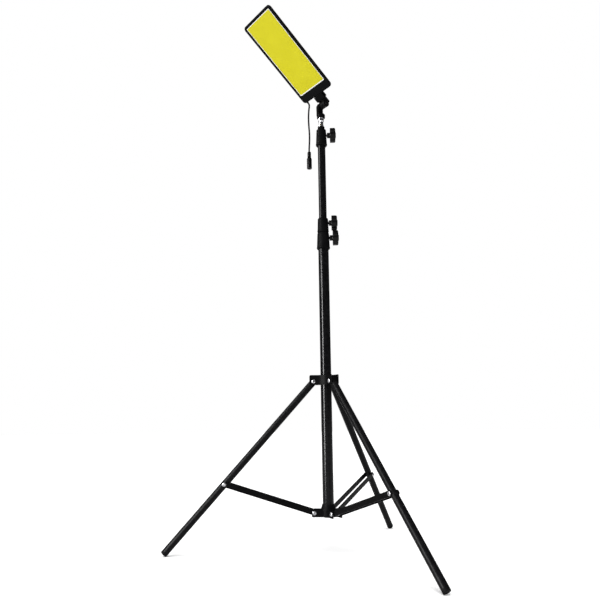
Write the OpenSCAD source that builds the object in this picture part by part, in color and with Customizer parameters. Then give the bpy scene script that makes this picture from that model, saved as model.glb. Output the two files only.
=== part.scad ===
// Tripod work light: folding three-leg stand, four-section telescoping column,
// swivelling and tilting flat LED head with a short hanging DC lead.
// Millimetres. Origin on the floor under the column axis, +Z up.

/* [Column] */
// Outer diameter of the base tube
base_od = 25; // [24:0.5:26]
// Outer diameter of the second tube
tube2_od = 22; // [21.5:0.1:22]
// Outer diameter of the third tube
tube3_od = 19; // [18.5:0.1:19]
// Outer diameter of the fourth tube
tube4_od = 16; // [15.5:0.1:16]
// Wall thickness of every column tube
tube_wall = 1.1; // [0.9:0.1:1.2]
// Height of the base tube's lower end above the floor
base_foot_z = 81; // [78:0.5:84]
// Underside of the lowest clamp collar
collar1_z = 696.4; // [680:0.2:720]
// Height of the lowest clamp collar
collar1_h = 41.6; // [38:0.2:44]
// Height of the middle clamp collar
collar2_h = 37; // [34:0.2:40]
// Height of the upper clamp collar
collar3_h = 44.8; // [40:0.2:48]
// How far the third tube is pulled out
tube3_out = 191; // [100:1:300]

/* [Legs] */
// Turn of the leg set about the column
leg_turn = 2.65; // [-30:0.05:30]
// Angle of a leg from vertical when open
leg_angle = 41.94; // [38:0.02:44]
// Length of a leg from its pivot to its foot
leg_len = 501; // [480:1:520]
// Outer diameter of a leg tube
leg_od = 16; // [15:0.5:17]
// Distance of the leg pivots from the column axis
leg_pivot_r = 28.9; // [28:0.1:31]
// Distance from leg pivot to stay pin along the leg
stay_pin_at = 303.6; // [290:0.2:320]
// Length of a stay between its pins
stay_len = 210; // [206:0.5:214]
// Distance of the hub pins from the column axis
hub_pin_r = 31.3; // [30:0.1:33]
// Depth of a flat stay bar
stay_w = 11.6; // [10:0.2:13]
// Thickness of a flat stay bar
stay_t = 1.8; // [1.4:0.1:2]

/* [Knobs] */
// Outside diameter of a clamp knob
knob_d = 37; // [32:0.5:37]
// Thickness of a clamp knob head
knob_t = 15; // [12:0.5:16]
// Number of lobes on a clamp knob
knob_lobes = 6; // [5:1:8]
// Diameter of the knob's stem
knob_stem_d = 13.5; // [10:0.5:14]

/* [Head] */
// Width of the lamp head
head_w = 110; // [100:1:118]
// Length of the lamp head
head_l = 237.5; // [225:0.5:250]
// Thickness of the head's rim
rim_t = 6; // [5:0.5:8]
// Width of the side and top borders
border = 6.5; // [5:0.5:9]
// Height of the plain border at the cable end
chin = 21.8; // [18:0.2:26]
// Swivel heading of the head about the column
head_turn = -50.7; // [-90:0.1:0]
// Tilt of the head from upright
head_tilt = 53.35; // [0:0.05:90]
// Height of the tilt hinge above the floor
hinge_z = 1082.2; // [1078:0.2:1090]
// Distance from the tilt hinge to the head's lower edge
hinge_gap = 26.6; // [24:0.2:30]

/* [Cord] */
// Diameter of the hanging lead
cord_d = 4.2; // [3.6:0.1:5]

/* [Hidden] */
$fn = 72;
e = 0.01;
black = [0.06, 0.06, 0.07];
dark = [0.1, 0.1, 0.11];
zinc = [0.78, 0.78, 0.8];
nylon = [0.85, 0.85, 0.82];

// Tube radii: outer o1..o4, inner i1..i4
o1 = base_od / 2;
o2 = tube2_od / 2;
o3 = tube3_od / 2;
o4 = tube4_od / 2;
i1 = o1 - tube_wall;
i2 = o2 - tube_wall;
i3 = o3 - tube_wall;
i4 = o4 - tube_wall;
run = 0.06;
air = 0.4;

// Leg geometry: the foot's rounded edge rests on z = 0
leg_r = leg_od / 2;
foot_round = 1;
foot_lift = (leg_r - foot_round) * sin(leg_angle) + foot_round - foot_round * cos(leg_angle);
leg_pivot_z = leg_len * cos(leg_angle) + foot_lift;
pin_x = leg_pivot_r + stay_pin_at * sin(leg_angle);
pin_z = leg_pivot_z - stay_pin_at * cos(leg_angle);
stay_rise = sqrt(stay_len * stay_len - (pin_x - hub_pin_r) * (pin_x - hub_pin_r));
stay_angle = atan2(stay_rise, pin_x - hub_pin_r);
hub_pin_z = pin_z - stay_rise;
leg_az = [180 + leg_turn, 300 + leg_turn, 60 + leg_turn];
echo(leg_pivot_z = leg_pivot_z, hub_pin_z = hub_pin_z, stay_angle = stay_angle, pin = [pin_x, pin_z]);

// Crown and hub
crown_lo = leg_pivot_z - 7.4;
crown_hi = leg_pivot_z + 14.7;
hub_lo = base_foot_z - 0.7;
hub_hi = hub_lo + 15.6;
sleeve_r = 16.6;
ear_t = 1.8;
ear_in = leg_r + air;
ear_out = ear_in + ear_t;
bar_in = leg_r + 0.45;
bar_out = bar_in + stay_t;
hub_ear_in = bar_out + 0.35;
hub_ear_out = hub_ear_in + ear_t;
pin_r = 2.4;
pin_hole = pin_r + run;
screw_head_r = 4.5;
lock_az = 120 + leg_turn;
lock_z = (crown_lo + crown_hi) / 2 + 0.2;

// Collars up the column
collar1_top = collar1_z + collar1_h;
collar2_z = collar1_top + 0.3;
collar2_top = collar2_z + collar2_h;
collar3_z = collar2_top + tube3_out + 0.2;
collar3_top = collar3_z + collar3_h;
cap_z = collar3_top + 0.3;
cap_h = 7.2;
spigot_z = cap_z + cap_h;
stud_r = 3;
knob1_z = collar1_z + 28.8;
knob2_z = knob1_z + 38;
knob3_z = collar3_z + 29;
base_top = knob1_z - 7;
tube2_bottom = base_foot_z + 20;
tube2_top = knob2_z - 7;
tube3_bottom = tube2_bottom + tube3_out + 24;
tube3_top = knob3_z - 7;
tube4_bottom = tube3_bottom + 24;

// Head
knuckle_r = 9;
hinge_y = 7;
rim_y = 8.3;
rim_hw = head_w / 2;
head_z0 = hinge_gap;
head_z1 = hinge_gap + head_l;
corner_r = 9;
led_w = head_w - 2 * border;
led_z0 = head_z0 + chin;
led_z1 = head_z1 - border;
recess = 1.6;
gland_x = -45;
gland_len = 2.5;
bolt_r = 3;
swivel_z = 1043.2;
swivel_sleeve_h = 10;
swivel_sleeve_r = 10.25;
spigot_r = 6.5;

// Route of the lead from the gland to the socket, column frame
route = [
  [-32.8, 31.3, 1105.6], [-31.6, 32.2, 1104.2], [-30.8, 33, 1102.5], [-30.2, 33.4, 1100.6],
  [-30.05, 33.6, 1098.5], [-30.35, 33.6, 1094], [-31.3, 33.6, 1086], [-32, 33.6, 1076],
  [-32.4, 33.6, 1066], [-32.4, 33.6, 1056], [-32.1, 33.6, 1046], [-31.6, 33.6, 1036],
  [-31, 33.6, 1026], [-30.6, 33.6, 1016], [-30.6, 33.6, 1006], [-30.9, 33.6, 996],
  [-31.4, 33.6, 986], [-31.9, 33.6, 977], [-32, 33.6, 968]
];
socket_x = -32;
socket_y = 33.6;
socket_top = 968;
socket_len = 46;

module ring(ro, ri, h) {
  difference() {
    cylinder(r = ro, h = h);
    translate([0, 0, -1]) cylinder(r = ri, h = h + 2);
  }
}

module cross(r, y0, y1) {
  translate([0, y1, 0]) rotate([90, 0, 0]) cylinder(r = r, h = y1 - y0);
}

module at_leg(i) {
  rotate([0, 0, leg_az[i]]) children();
}

module on_leg(i) {
  at_leg(i) translate([leg_pivot_r, 0, leg_pivot_z]) rotate([0, -leg_angle, 0]) children();
}

module on_stay(i) {
  at_leg(i) translate([hub_pin_r, 0, hub_pin_z]) rotate([0, -stay_angle, 0]) children();
}

module rounded_plate(x0, x1, z0, z1, y0, y1, r) {
  translate([0, y1, 0]) rotate([90, 0, 0]) linear_extrude(y1 - y0) union() {
    translate([x0 + r, z0]) square([x1 - x0 - 2 * r, z1 - z0]);
    translate([x0, z0 + r]) square([x1 - x0, z1 - z0 - 2 * r]);
    for (x = [x0 + r, x1 - r]) for (z = [z0 + r, z1 - r]) translate([x, z]) circle(r = r, $fn = 32);
  }
}

// ---- root: base tube, hub, lowest collar ----

module base_tube() {
  color(black) difference() {
    translate([0, 0, base_foot_z]) ring(o1, i1, base_top - base_foot_z);
    for (s = [0, 180]) rotate([0, 0, s + 90 + leg_turn])
      translate([0, 0, hub_lo + 8]) rotate([0, 90, 0]) cylinder(r = 1.5, h = 20);
  }
}

module base_plug() {
  color(dark) union() {
    translate([0, 0, base_foot_z - 2.4]) cylinder(r = o1 - 0.6, h = 2.4 - e);
    translate([0, 0, base_foot_z - e]) cylinder(r = i1 - 0.05, h = 12);
  }
}

module hub() {
  color(black) difference() {
    union() {
      translate([0, 0, hub_lo]) cylinder(r = sleeve_r, h = hub_hi - hub_lo + 1.2);
      translate([0, 0, hub_hi + 1.2]) cylinder(r1 = sleeve_r, r2 = o1 + 0.9, h = 10);
      for (i = [0 : 2]) at_leg(i)
        rounded_plate(10, 37.2, hub_lo, hub_hi, -hub_ear_out, hub_ear_out, 2);
    }
    translate([0, 0, hub_lo - 1]) cylinder(r = o1 + 0.02, h = 60);
    for (i = [0 : 2]) at_leg(i) {
      translate([18.6, -hub_ear_in, hub_lo - 1]) cube([30, 2 * hub_ear_in, 30]);
      translate([hub_pin_r, 0, hub_pin_z]) cross(pin_r + 0.02, -20, 20);
    }
  }
}

module pivot_pin(spacer_r, spacer_y, face_y) {
  union() {
    cross(pin_r, -face_y - e, face_y + e);
    if (spacer_r > 0) cross(spacer_r, -spacer_y, spacer_y);
    for (s = [-1, 1]) rotate([s > 0 ? -90 : 90, 0, 0]) translate([0, 0, face_y])
      rotate_extrude() polygon([[0, 0], [screw_head_r, 0], [screw_head_r, 0.9],
        [screw_head_r - 0.7, 1.7], [screw_head_r - 2, 2.2], [1.6, 2.3], [1.6, 1.3], [0, 1.3]]);
  }
}

module hub_pins() {
  color(zinc) for (i = [0 : 2]) at_leg(i) translate([hub_pin_r, 0, hub_pin_z])
    pivot_pin(3.8, bar_in - 0.1, hub_ear_out);
}

module collar_profile(h, r_top, r_bot, bore_lo, bore_hi, step) {
  rotate_extrude() polygon([
    [bore_lo, 0], [r_bot - 1.8, 0], [r_bot, 2.4], [r_bot, 5], [r_bot - 0.5, 6],
    [r_top + 0.1, h - 4.2], [r_top - 0.3, h - 3.6], [r_top, h - 2.8], [r_top, h - 2],
    [r_top - 1.2, h - 0.8], [bore_hi + 0.5, h], [bore_hi, h], [bore_hi, step], [bore_lo, step]
  ]);
}

module collar(z, h, r_top, r_bot, ro, r_next, kz, pipe_top) {
  color(dark) difference() {
    translate([0, 0, z])
      collar_profile(h, r_top, r_bot, ro + 0.02, r_next + 1.2, pipe_top - z + 0.1);
    translate([0, 0, kz]) rotate([0, 90, 0]) cylinder(r = stud_r + run, h = 40);
    translate([0, 0, kz]) rotate([0, 90, 0]) translate([0, 0, r_top + 0.3]) cylinder(r = 5.2, h = 20);
  }
}

module liner(z, h, r_next, kz, pipe_top) {
  color(nylon) difference() {
    union() {
      translate([0, 0, pipe_top + 0.12]) ring(r_next + 1.18, r_next + run, z + h - pipe_top - 0.9);
    }
    translate([0, 0, kz]) rotate([0, 90, 0]) cylinder(r = stud_r + run, h = 40);
  }
}

module collar_1() {
  collar(collar1_z, collar1_h, 14.2, 16.1, o1, o2, knob1_z, base_top);
}

module liner_1() {
  liner(collar1_z, collar1_h, o2, knob1_z, base_top);
}

// ---- crown with its lock ----

module crown() {
  color(black) difference() {
    union() {
      translate([0, 0, crown_lo]) cylinder(r = sleeve_r, h = crown_hi - crown_lo);
      for (i = [0 : 2]) at_leg(i)
        rounded_plate(10, 38.4, crown_lo, crown_hi, -ear_out, ear_out, 2.4);
      rotate([0, 0, lock_az]) translate([0, 0, lock_z]) rotate([0, 90, 0])
        translate([0, 0, 12]) cylinder(r = 5.5, h = 8.4);
    }
    translate([0, 0, crown_lo - 1]) cylinder(r = o1 + 2, h = 60);
    for (i = [0 : 2]) at_leg(i) {
      translate([19, -ear_in, crown_lo - 1]) cube([30, 2 * ear_in, 40]);
      translate([leg_pivot_r, 0, leg_pivot_z]) cross(pin_r + 0.02, -20, 20);
    }
    rotate([0, 0, lock_az]) translate([0, 0, lock_z]) rotate([0, 90, 0])
      cylinder(r = 2.5 + run, h = 40);
  }
}

module crown_bush() {
  color(nylon) difference() {
    translate([0, 0, crown_lo + 0.6]) ring(o1 + 1.98, o1 + run, crown_hi - crown_lo - 1.2);
    rotate([0, 0, lock_az]) translate([0, 0, lock_z]) rotate([0, 90, 0])
      cylinder(r = 2.5 + run, h = 40);
  }
}

module crown_pins() {
  color(zinc) for (i = [0 : 2]) at_leg(i) translate([leg_pivot_r, 0, leg_pivot_z])
    pivot_pin(0, 0, ear_out);
}

module lock_frame() {
  rotate([0, 0, lock_az]) translate([0, 0, lock_z]) rotate([0, 90, 0]) children();
}

module lock_knob() {
  color(dark) lock_frame() difference() {
    union() {
      translate([0, 0, 21]) cylinder(r = 6, h = 4);
      translate([0, 0, 25 - e]) cylinder(r = 9.4, h = 8);
    }
    for (a = [0 : 30 : 330]) rotate([0, 0, a]) translate([10.2, 0, 24]) cylinder(r = 1.5, h = 12);
    translate([0, 0, 20]) cylinder(r = 2.52, h = 9);
  }
}

module lock_screw() {
  color(zinc) lock_frame() translate([0, 0, o1 + 0.35]) cylinder(r = 2.5, h = 29 - o1 - 0.35);
}

// ---- legs ----

module leg_tube(i) {
  color(black) on_leg(i) difference() {
    translate([0, 0, -leg_len + 6]) ring(leg_r, leg_r - tube_wall, leg_len - 6 - 10);
    translate([0, 0, -stay_pin_at]) cross(pin_r + 0.1, -20, 20);
  }
}

module leg_eye(i) {
  color(dark) on_leg(i) difference() {
    union() {
      intersection() {
        cross(leg_r, -leg_r, leg_r);
        translate([0, 0, -leg_r]) cylinder(r = leg_r + 1.6, h = 2 * leg_r);
      }
      translate([0, 0, -10 + e]) cylinder(r = leg_r, h = 10);
      translate([0, 0, -26]) cylinder(r = leg_r - tube_wall - 0.03, h = 17);
    }
    cross(pin_hole, -20, 20);
  }
}

module leg_foot(i) {
  color(dark) on_leg(i) translate([0, 0, -leg_len]) rotate_extrude() union() {
    translate([0, foot_round]) square([leg_r, 6 - foot_round - e]);
    square([leg_r - foot_round, 6 - e]);
    intersection() {
      translate([leg_r - foot_round, foot_round]) circle(r = foot_round, $fn = 32);
      translate([leg_r - foot_round - 0.1, -1]) square([2, 3]);
    }
    translate([0, 5]) square([leg_r - tube_wall - 0.03, 16]);
  }
}

module leg_pin(i) {
  color(zinc) on_leg(i) translate([0, 0, -stay_pin_at]) cross(pin_r, -leg_r, leg_r);
}

// ---- stays: flat bars that straddle the leg; their leg ends are the open pivot ----

module stay_bars(i) {
  color(dark) on_stay(i) for (s = [-1, 1]) difference() {
    translate([0, s > 0 ? bar_out : -bar_in, 0]) rotate([90, 0, 0]) linear_extrude(stay_t) difference() {
      union() {
        translate([0, -stay_w / 2]) square([stay_len, stay_w]);
        circle(r = stay_w / 2);
        translate([stay_len, 0]) circle(r = stay_w / 2);
      }
    }
    cross(pin_hole, -20, 20);
    translate([stay_len, 0, 0]) cross(pin_r + 0.02, -20, 20);
  }
}

module stay_screws(i) {
  color(zinc) on_stay(i) translate([stay_len, 0, 0]) for (s = [-1, 1])
    rotate([s > 0 ? -90 : 90, 0, 0]) union() {
      translate([0, 0, bar_in]) cylinder(r = pin_r, h = stay_t + e);
      translate([0, 0, bar_out]) rotate_extrude() polygon([[0, 0], [screw_head_r, 0],
        [screw_head_r, 0.9], [screw_head_r - 0.7, 1.7], [screw_head_r - 2, 2.2], [1.6, 2.3],
        [1.6, 1.3], [0, 1.3]]);
    }
}

module leg_1_tube() { leg_tube(0); }
module leg_1_eye() { leg_eye(0); }
module leg_1_foot() { leg_foot(0); }
module leg_1_pin() { leg_pin(0); }
module leg_2_tube() { leg_tube(1); }
module leg_2_eye() { leg_eye(1); }
module leg_2_foot() { leg_foot(1); }
module leg_2_pin() { leg_pin(1); }
module leg_3_tube() { leg_tube(2); }
module leg_3_eye() { leg_eye(2); }
module leg_3_foot() { leg_foot(2); }
module leg_3_pin() { leg_pin(2); }
module stay_1_bars() { stay_bars(0); }
module stay_1_screws() { stay_screws(0); }
module stay_2_bars() { stay_bars(1); }
module stay_2_screws() { stay_screws(1); }
module stay_3_bars() { stay_bars(2); }
module stay_3_screws() { stay_screws(2); }

// ---- telescoping sections ----

module pipe(ro, ri, z0, z1) {
  color(black) translate([0, 0, z0]) ring(ro, ri, z1 - z0);
}

module plug(ri_own, r_outer_bore, z) {
  color(nylon) union() {
    translate([0, 0, z - 8]) cylinder(r = r_outer_bore - run, h = 8 - e);
    translate([0, 0, z - 1]) cylinder(r = ri_own - 0.03, h = 13);
  }
}

module tube_2() { pipe(o2, i2, tube2_bottom, tube2_top); }
module plug_2() { plug(i2, i1, tube2_bottom); }
module collar_2() { collar(collar2_z, collar2_h, 12.6, 14.1, o2, o3, knob2_z, tube2_top); }
module liner_2() { liner(collar2_z, collar2_h, o3, knob2_z, tube2_top); }
module tube_3() { pipe(o3, i3, tube3_bottom, tube3_top); }
module plug_3() { plug(i3, i2, tube3_bottom); }
module collar_3() { collar(collar3_z, collar3_h, 12.1, 14.2, o3, o4, knob3_z, tube3_top); }
module liner_3() { liner(collar3_z, collar3_h, o4, knob3_z, tube3_top); }
module tube_4() { pipe(o4, i4, tube4_bottom, cap_z + 4); }
module plug_4() { plug(i4, i3, tube4_bottom); }

module top_cap() {
  color(dark) translate([0, 0, cap_z]) difference() {
    rotate_extrude() polygon([[o4 + 0.02, 0], [8.5, 0], [8.5, 4.4], [8.8, 4.9], [8.8, 6.4], [7.9, cap_h],
      [3.5, cap_h], [3.5, -6], [i4 - 0.03, -6], [i4 - 0.03, 4.05], [o4 + 0.02, 4.05]]);
  }
}

module spigot() {
  color(zinc) translate([0, 0, spigot_z]) union() {
    translate([0, 0, -12]) cylinder(r = 3.48, h = 12 + e);
    rotate_extrude() polygon([[0, 0], [6.9, 0], [6.9, 3], [spigot_r - 0.9, 5.5],
      [spigot_r - 0.9, 13], [6.9, 16], [6.9, swivel_z - spigot_z - 1.2],
      [6.9, swivel_z - spigot_z - 0.4], [spigot_r - 1, swivel_z - spigot_z - 0.4],
      [spigot_r - 1, swivel_z - spigot_z + 7.2], [0, swivel_z - spigot_z + 7.2]]);
  }
}

// ---- clamp knobs ----

module knob(r_stem, r_disc, kz) {
  color(dark) translate([0, 0, kz]) rotate([0, 90, 0]) difference() {
    union() {
      translate([0, 0, r_stem]) cylinder(r = knob_stem_d / 2, h = r_disc - r_stem + 2);
      translate([0, 0, r_disc]) rotate_extrude() polygon([[0, 0],
        [knob_d / 2 - 0.8, 0], [knob_d / 2, 0.8], [knob_d / 2, knob_t - 4.2],
        [knob_d / 2 - 0.7, knob_t - 2.6], [knob_d / 2 - 2.6, knob_t - 1.5],
        [knob_d / 2 - 5, knob_t - 1.3], [7.4, knob_t - 1], [7, knob_t], [0, knob_t]]);
    }
    for (k = [0 : knob_lobes - 1]) rotate([0, 0, (k + 0.5) * 360 / knob_lobes])
      translate([knob_d / 2 + 3.4, 0, r_disc - 4]) cylinder(r = 5.6, h = 40);
    translate([0, 0, r_stem - 1]) cylinder(r = stud_r + 0.02, h = r_disc - r_stem + 8);
  }
}

module stud(r_in, r_disc, kz) {
  color(zinc) translate([0, 0, kz]) rotate([0, 90, 0]) translate([0, 0, r_in + 0.35])
    cylinder(r = stud_r, h = r_disc + 7 - r_in - 0.35);
}

module knob_1() { knob(15.7, 23.1, knob1_z); }
module knob_1_stud() { stud(o2, 23.1, knob1_z); }
module knob_2() { knob(14.3, 20.8, knob2_z); }
module knob_2_stud() { stud(o3, 20.8, knob2_z); }
module knob_3() { knob(14.3, 21.7, knob3_z); }
module knob_3_stud() { stud(o4, 21.7, knob3_z); }

// ---- swivel bracket and hinge bolt ----

module swivel_frame() {
  rotate([0, 0, head_turn]) children();
}

module bar_x(r, x0, x1) {
  translate([x0, 0, 0]) rotate([0, 90, 0]) cylinder(r = r, h = x1 - x0);
}

module swivel_bracket() {
  color(dark) swivel_frame() difference() {
    union() {
      translate([0, 0, swivel_z]) cylinder(r = swivel_sleeve_r, h = swivel_sleeve_h);
      translate([0, hinge_y, hinge_z]) bar_x(knuckle_r, -14.5, -4);
      hull() {
        translate([-10.6, -6.4, swivel_z + 8]) cube([9.8, 13.8, 1]);
        translate([-11.8, -5.8, swivel_z + 16]) cube([9.2, 16.4, 1]);
      }
      hull() {
        translate([-11.8, -5.8, swivel_z + 16]) cube([9.2, 16.4, 1]);
        translate([-12.6, -5.2, swivel_z + 22]) cube([8.6, 16.1, 1]);
      }
      hull() {
        translate([-12.6, -5.2, swivel_z + 22]) cube([8.6, 16.1, 1]);
        translate([-14.5, -4, hinge_z - 2]) cube([10.5, 16.6, 1]);
      }
    }
    translate([0, 0, swivel_z - 1]) cylinder(r = spigot_r - 1 + run, h = 9);
    translate([0, hinge_y, hinge_z]) bar_x(bolt_r + 0.02, -30, 30);
  }
}

module hinge_bolt() {
  color(dark) swivel_frame() translate([0, hinge_y, hinge_z]) union() {
    bar_x(bolt_r, -14.5 - e, 14.9 + e);
    translate([14.9, 0, 0]) rotate([0, 90, 0]) rotate_extrude() polygon([[0, 0], [6, 0],
      [6, 1.6], [5, 3.1], [2.4, 3.9], [0, 3.9]]);
    translate([-14.5, 0, 0]) rotate([0, -90, 0]) rotate_extrude() polygon([[0, 0], [5.2, 0],
      [5.2, 1.2], [4.4, 2.4], [2, 3], [0, 3]]);
  }
}

// ---- head ----

module head_frame() {
  swivel_frame() translate([0, hinge_y, hinge_z]) rotate([head_tilt, 0, 0]) children();
}

module slab(w, z0, z1, y0, y1, r) {
  translate([0, y1, 0]) rotate([90, 0, 0]) linear_extrude(y1 - y0) union() {
    translate([-w / 2 + r, z0]) square([w - 2 * r, z1 - z0]);
    translate([-w / 2, z0 + r]) square([w, z1 - z0 - 2 * r]);
    for (x = [-w / 2 + r, w / 2 - r]) for (z = [z0 + r, z1 - r]) translate([x, z]) circle(r = r);
  }
}

module tilt_bracket() {
  color(dark) head_frame() difference() {
    union() {
      bar_x(knuckle_r, -3.6, 14.5);
      slab(29, -4.4, head_z0 - 0.1, rim_y + 1.3, rim_y + rim_t, 1);
      translate([-0.85, 0, 0]) slab(30.7, 10.4, head_z0 - 0.1, rim_y - 1.3, rim_y + 2, 2);
      translate([-3.6, 0, -4.4]) cube([18.1, rim_y + 2, 12.2]);
      translate([-14.5, rim_y + 1.6, 12]) cube([29, rim_t + 3.1, 12]);
      slab(29, 14, head_z0 + 44, rim_y + rim_t + 0.1, rim_y + rim_t + 4.6, 2);
    }
    bar_x(bolt_r + run, -30, 30);
    for (x = [-8, 8]) for (z = [head_z0 + 10, head_z0 + 34])
      translate([x, 0, z]) cross(2.02, 0, 40);
  }
}

module rim() {
  color(black) head_frame() difference() {
    slab(head_w, head_z0, head_z1, rim_y, rim_y + rim_t, corner_r);
    slab(led_w, led_z0, led_z1, rim_y - 1, rim_y + rim_t - 1.6, 2);
    translate([gland_x, rim_y + rim_t / 2, head_z0 - 1]) cylinder(r = 2.2, h = chin - 3);
    translate([gland_x - 2.2, rim_y + rim_t / 2 - 1, head_z0 + chin - 6]) cube([4.4, 2, 10]);
    for (x = [-8, 8]) for (z = [head_z0 + 10, head_z0 + 34])
      translate([x, 0, z]) cross(1.5, rim_y + rim_t - 1.5, 40);
  }
}

module led_board() {
  color([0.92, 0.92, 0.88]) head_frame()
    slab(led_w - 0.4, led_z0 + 0.2, led_z1 - 0.2, rim_y + 1.6, rim_y + rim_t - 1.7, 2);
}

module led_panel() {
  color([0.9, 0.86, 0.2]) head_frame()
    slab(led_w - 4.6, led_z0 + 2.4, led_z1 - 2, rim_y + 0.9, rim_y + 1.59, 2);
}

module heat_sink() {
  fins = 11;
  color(black) head_frame() difference() {
    union() {
      slab(head_w - 14, head_z0 + 48, head_z1 - 7, rim_y + rim_t + 0.02, rim_y + rim_t + 3, 6);
      for (k = [0 : fins - 1]) translate([-44 + k * 8.8 - 0.9, rim_y + rim_t + 2.9, head_z0 + 52])
        cube([1.8, 7, head_l - 63]);
    }
    for (x = [-39.6, 39.6]) for (z = [head_z0 + 54, head_z0 + 141, head_z1 - 13])
      translate([x, 0, z]) cross(1.52, 0, 40);
  }
}

module pan_screw(r, head_r, head_h, len) {
  rotate([-90, 0, 0]) union() {
    translate([0, 0, -len]) cylinder(r = r, h = len + e);
    rotate_extrude() polygon([[0, 0], [head_r, 0], [head_r, head_h * 0.5], [head_r * 0.6, head_h],
      [0, head_h]]);
  }
}

module bracket_screws() {
  color(zinc) head_frame() for (x = [-8, 8]) for (z = [head_z0 + 10, head_z0 + 34])
    translate([x, rim_y + rim_t + 4.6, z]) pan_screw(1.48, 3.6, 1.8, 5.8);
}

module case_screws() {
  color(zinc) head_frame()
    for (x = [-39.6, 39.6]) for (z = [head_z0 + 54, head_z0 + 141, head_z1 - 13])
      translate([x, rim_y + rim_t + 3, z]) pan_screw(1.5, 2.9, 1.6, 2.9);
}

module cord_gland() {
  color(dark) head_frame() translate([gland_x, rim_y + rim_t / 2, head_z0]) union() {
    rotate([180, 0, 0]) cylinder(r1 = 2.9, r2 = 2.5, h = gland_len);
    translate([0, 0, -e]) cylinder(r = 2.15, h = 8);
  }
}

// ---- lead and socket ----

function unit(v) = v / norm(v);
function dir_at(k) = unit(route[min(k + 1, len(route) - 1)] - route[max(k - 1, 0)]);
function side_a(d) = unit(cross3(d, [0, 1, 0]));
function cross3(a, b) = [a[1] * b[2] - a[2] * b[1], a[2] * b[0] - a[0] * b[2], a[0] * b[1] - a[1] * b[0]];
cord_n = 10;

module dc_cord() {
  n = len(route);
  pts = [for (k = [0 : n - 1]) let (d = dir_at(k), a = side_a(d), b = cross3(d, a))
    for (j = [0 : cord_n - 1]) route[k] + cord_d / 2 * (cos(j * 360 / cord_n) * a
      + sin(j * 360 / cord_n) * b)];
  walls = [for (k = [0 : n - 2]) for (j = [0 : cord_n - 1])
    [k * cord_n + j, k * cord_n + (j + 1) % cord_n, (k + 1) * cord_n + (j + 1) % cord_n,
     (k + 1) * cord_n + j]];
  first = [[for (j = [cord_n - 1 : -1 : 0]) j]];
  last = [[for (j = [0 : cord_n - 1]) (n - 1) * cord_n + j]];
  color(dark) polyhedron(points = pts, faces = concat(walls, first, last), convexity = 4);
}

module dc_socket() {
  color(black) translate([socket_x, socket_y, socket_top - socket_len]) union() {
    difference() {
      rotate_extrude() polygon([[0, 0], [5.9, 0], [6.35, 0.6], [6.35, 26.5], [5.6, 28], [4.5, 29.5],
        [4.5, socket_len - 1.5], [3.8, socket_len - 0.02], [0, socket_len - 0.02]]);
      translate([0, 0, -1]) cylinder(r = 2.75, h = 11);
    }
    translate([0, 0, 0.8]) cylinder(r = 1.05, h = 10);
  }
}

base_tube();
base_plug();
hub();
hub_pins();
collar_1();
liner_1();
crown();
crown_bush();
crown_pins();
lock_knob();
lock_screw();
leg_1_tube();
leg_1_eye();
leg_1_foot();
leg_1_pin();
leg_2_tube();
leg_2_eye();
leg_2_foot();
leg_2_pin();
leg_3_tube();
leg_3_eye();
leg_3_foot();
leg_3_pin();
stay_1_bars();
stay_1_screws();
stay_2_bars();
stay_2_screws();
stay_3_bars();
stay_3_screws();
tube_2();
plug_2();
collar_2();
liner_2();
tube_3();
plug_3();
collar_3();
liner_3();
tube_4();
plug_4();
top_cap();
spigot();
knob_1();
knob_1_stud();
knob_2();
knob_2_stud();
knob_3();
knob_3_stud();
swivel_bracket();
hinge_bolt();
tilt_bracket();
rim();
led_board();
led_panel();
heat_sink();
bracket_screws();
case_screws();
cord_gland();
dc_cord();
dc_socket();
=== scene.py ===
from collections import namedtuple
from math import atan2, ceil, cos, degrees, pi, radians, sin, sqrt, tan

import bmesh
import bpy
from mathutils import Matrix, Vector


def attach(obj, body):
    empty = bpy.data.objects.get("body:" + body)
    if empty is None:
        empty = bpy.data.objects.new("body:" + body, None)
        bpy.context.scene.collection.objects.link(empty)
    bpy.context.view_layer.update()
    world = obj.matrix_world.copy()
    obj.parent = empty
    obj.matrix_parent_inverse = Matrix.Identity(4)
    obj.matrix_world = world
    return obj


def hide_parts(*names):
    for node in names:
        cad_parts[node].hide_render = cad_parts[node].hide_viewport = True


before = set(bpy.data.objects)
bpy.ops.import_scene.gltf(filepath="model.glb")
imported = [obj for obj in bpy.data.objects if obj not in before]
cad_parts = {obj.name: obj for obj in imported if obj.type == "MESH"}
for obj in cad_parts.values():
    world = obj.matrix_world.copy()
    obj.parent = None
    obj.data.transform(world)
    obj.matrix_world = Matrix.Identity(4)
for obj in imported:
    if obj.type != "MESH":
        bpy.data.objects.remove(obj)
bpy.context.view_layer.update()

# Sizes and places of the object are in millimetres, and MM turns them into metres. The camera, the
# floor, the lights and the depths of relief in the materials are in metres.
MM = 0.001

# ---------------------------------------------------------------- camera

# Fitted to the column, the three feet and the outline of the head. The turns are in radians.
CAM_AT = (0.0, -1.3834, 0.2904)
CAM_LENS, CAM_SENSOR = 35.43, 36
CAM_YAW = -0.0422
CAM_PITCH = 0.2008
CAM_ROLL = -0.0107


def make_camera():
    data = bpy.data.cameras.new("camera")
    data.lens = CAM_LENS
    data.sensor_width = CAM_SENSOR
    data.clip_end = 60
    cam = bpy.data.objects.new("camera", data)
    bpy.context.collection.objects.link(cam)
    ahead = Vector((sin(CAM_YAW) * cos(CAM_PITCH), cos(CAM_YAW) * cos(CAM_PITCH), sin(CAM_PITCH)))
    right = Vector((cos(CAM_YAW), -sin(CAM_YAW), 0))
    up = right.cross(ahead)
    r = right * cos(CAM_ROLL) + up * sin(CAM_ROLL)
    u = up * cos(CAM_ROLL) - right * sin(CAM_ROLL)
    m = Matrix((r, u, -ahead)).transposed().to_4x4()
    m.translation = CAM_AT
    cam.matrix_world = m
    bpy.context.scene.camera = cam


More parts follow.
